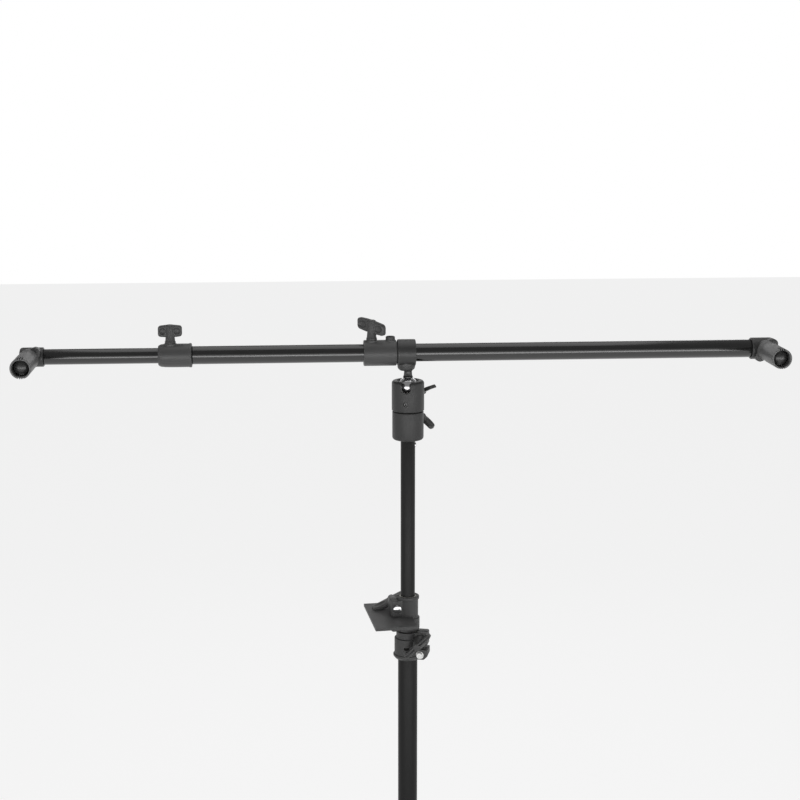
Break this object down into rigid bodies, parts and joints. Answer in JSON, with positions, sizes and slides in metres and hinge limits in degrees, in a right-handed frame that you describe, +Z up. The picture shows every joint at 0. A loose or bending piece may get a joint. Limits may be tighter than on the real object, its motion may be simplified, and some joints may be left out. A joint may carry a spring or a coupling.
{
  "type": "c stand",
  "caption": "Studio C stand with a three-legged base, telescoping column, ball head and telescoping crossbar whose spring grips hold a reflector.",
  "frame": {"origin": "on the floor, on the column's axis", "axes": "+Z up along the column; the crossbar lies along X with its telescoping end at -X; the grips open to -Y"},
  "size_m": [1.131, 0.8448, 1.7033],
  "materials": {
    "tube_paint": "smooth near-black satin paint",
    "black_plastic": "fine-grained matte dark grey nylon",
    "grey_plastic": "fine-grained matte grey nylon",
    "gloss_plastic": "glossy black plastic",
    "head_metal": "satin black anodised metal",
    "chrome": "bright chrome plating",
    "zinc": "bright zinc plating",
    "nylon": "natural nylon",
    "casting": "black powder coat over a casting",
    "rubber": "matte black rubber"
  },
  "bodies": {
    "base": {"column_foot_cap": "black_plastic", "low_leg_hub": "casting", "low_leg_tube": "tube_paint", "low_leg_foot": "rubber", "hub_stop_ring": "zinc", "lower_column": "tube_paint", "lower_collar": "grey_plastic", "lower_collar_bush": "nylon", "lower_lock_bolt": "chrome", "lower_fixing_bolt": "zinc"},
    "mid_leg": {"mid_leg_hub": "casting", "mid_leg_tube": "tube_paint", "mid_leg_foot": "rubber"},
    "high_leg": {"high_leg_hub": "casting", "high_leg_tube": "tube_paint", "high_leg_foot": "rubber"},
    "leg_knob": {"leg_lock_knob": "black_plastic"},
    "lower_knob": {"lower_lock_knob": "black_plastic"},
    "mid_section": {"mid_riser": "tube_paint", "mid_riser_bush": "nylon", "upper_collar": "grey_plastic", "upper_collar_bush": "nylon", "upper_lock_bolt": "chrome", "upper_fixing_bolt": "zinc"},
    "upper_knob": {"upper_lock_knob": "black_plastic"},
    "top_section": {"top_riser": "tube_paint", "top_riser_bush": "nylon", "top_stud": "zinc", "stud_screw": "chrome"},
    "head": {"head_base": "head_metal", "head_socket": "head_metal", "ball_seat": "nylon", "grub_screw": "head_metal"},
    "stud_knob": {"stud_lock_knob": "black_plastic"},
    "ball_knob": {"ball_lock_knob": "black_plastic"},
    "ball": {"ball": "chrome"},
    "ring": {"ball_stem": "head_metal", "boom_ring": "black_plastic"},
    "sleeve": {"boom_sleeve": "black_plastic", "ring_clip": "zinc", "sleeve_screw": "chrome"},
    "boom_knob": {"sleeve_knob": "black_plastic"},
    "boom": {"boom_outer_tube": "tube_paint", "extension_collar": "black_plastic", "right_end_cap": "black_plastic", "right_grip_flange": "grey_plastic", "right_grip_pivot": "zinc"},
    "reach_knob": {"extension_knob": "black_plastic"},
    "extension": {"boom_inner_tube": "tube_paint", "inner_tube_bush": "nylon", "left_end_cap": "black_plastic", "left_grip_flange": "grey_plastic", "left_grip_pivot": "zinc"},
    "left_grip": {"left_grip_barrel": "grey_plastic", "left_grip_spring": "zinc"},
    "left_plunger": {"left_grip_plunger": "gloss_plastic"},
    "right_grip": {"right_grip_barrel": "grey_plastic", "right_grip_spring": "zinc"},
    "right_plunger": {"right_grip_plunger": "gloss_plastic"}
  },
  "joints": [
    {"name": "mid_leg_swivel", "type": "hinge", "parent": "base", "child": "mid_leg", "pos_m": [0, 0, 0.1162], "axis": [0, 0, 1], "range_deg": [-100, 0]},
    {"name": "high_leg_swivel", "type": "hinge", "parent": "base", "child": "high_leg", "pos_m": [0, 0, 0.1508], "axis": [0, 0, 1], "range_deg": [0, 100]},
    {"name": "leg_knob_turn", "type": "hinge", "parent": "high_leg", "child": "leg_knob", "pos_m": [0.015, 0.02598, 0.1508], "axis": [0.5, 0.866, 0], "range_deg": [0, 170]},
    {"name": "lower_knob_turn", "type": "hinge", "parent": "base", "child": "lower_knob", "pos_m": [0.01741, -0.01725, 1.2006], "axis": [-0.2521, -0.9677, 0], "range_deg": [0, 170]},
    {"name": "mid_slide", "type": "slide", "parent": "base", "child": "mid_section", "axis": [0, 0, 1], "range_m": [0, 0.75]},
    {"name": "upper_knob_turn", "type": "hinge", "parent": "mid_section", "child": "upper_knob", "pos_m": [-0.01975, 0.01036, 1.252], "axis": [-0.1011, 0.9949, 0], "range_deg": [0, 170]},
    {"name": "top_slide", "type": "slide", "parent": "mid_section", "child": "top_section", "axis": [0, 0, 1], "range_m": [-0.23, 0.55]},
    {"name": "head_pan", "type": "hinge", "parent": "top_section", "child": "head", "pos_m": [0, 0, 1.5161], "axis": [0, 0, 1], "continuous": true},
    {"name": "stud_knob_turn", "type": "hinge", "parent": "head", "child": "stud_knob", "pos_m": [0.01346, 0.01987, 1.5431], "axis": [0.5606, 0.8281, 0], "range_deg": [0, 170]},
    {"name": "ball_knob_turn", "type": "hinge", "parent": "head", "child": "ball_knob", "pos_m": [0.01385, 0.02045, 1.5816], "axis": [0.5606, 0.8281, 0], "range_deg": [0, 170]},
    {"name": "ball_lean", "type": "hinge", "parent": "head", "child": "ball", "pos_m": [0, 0, 1.597], "axis": [0.2181, 0.9759, 0], "range_deg": [-22, 22]},
    {"name": "ball_tilt", "type": "hinge", "parent": "ball", "child": "ring", "pos_m": [0, 0, 1.597], "axis": [0.9759, -0.2181, 0], "range_deg": [-25, 90]},
    {"name": "boom_roll", "type": "hinge", "parent": "ring", "child": "sleeve", "pos_m": [0, 0, 1.6486], "axis": [1, 0, 0], "continuous": true},
    {"name": "boom_knob_turn", "type": "hinge", "parent": "sleeve", "child": "boom_knob", "pos_m": [-0.0544, 0, 1.6683], "axis": [0, 0, 1], "range_deg": [0, 170]},
    {"name": "boom_slide", "type": "slide", "parent": "sleeve", "child": "boom", "axis": [1, 0, 0], "range_m": [-0.45, 0.24]},
    {"name": "reach_knob_turn", "type": "hinge", "parent": "boom", "child": "reach_knob", "pos_m": [-0.352, 0, 1.6669], "axis": [0, 0, 1], "range_deg": [0, 170]},
    {"name": "reach_slide", "type": "slide", "parent": "boom", "child": "extension", "axis": [-1, 0, 0], "range_m": [-0.16, 0.32]},
    {"name": "left_grip_turn", "type": "hinge", "parent": "extension", "child": "left_grip", "pos_m": [-0.5563, 0, 1.6486], "axis": [0, 1, 0], "range_deg": [-90, 90]},
    {"name": "left_plunger_push", "type": "slide", "parent": "left_grip", "child": "left_plunger", "axis": [0, 1, 0], "range_m": [0, 0.012], "stiffness_N_per_m": 900, "springref_m": -0.012, "deforming": ["left_grip_spring"]},
    {"name": "right_grip_turn", "type": "hinge", "parent": "boom", "child": "right_grip", "pos_m": [0.5403, 0, 1.6486], "axis": [0, 1, 0], "range_deg": [-90, 90]},
    {"name": "right_plunger_push", "type": "slide", "parent": "right_grip", "child": "right_plunger", "axis": [0, 1, 0], "range_m": [0, 0.012], "stiffness_N_per_m": 900, "springref_m": -0.012, "deforming": ["right_grip_spring"]}
  ]
}
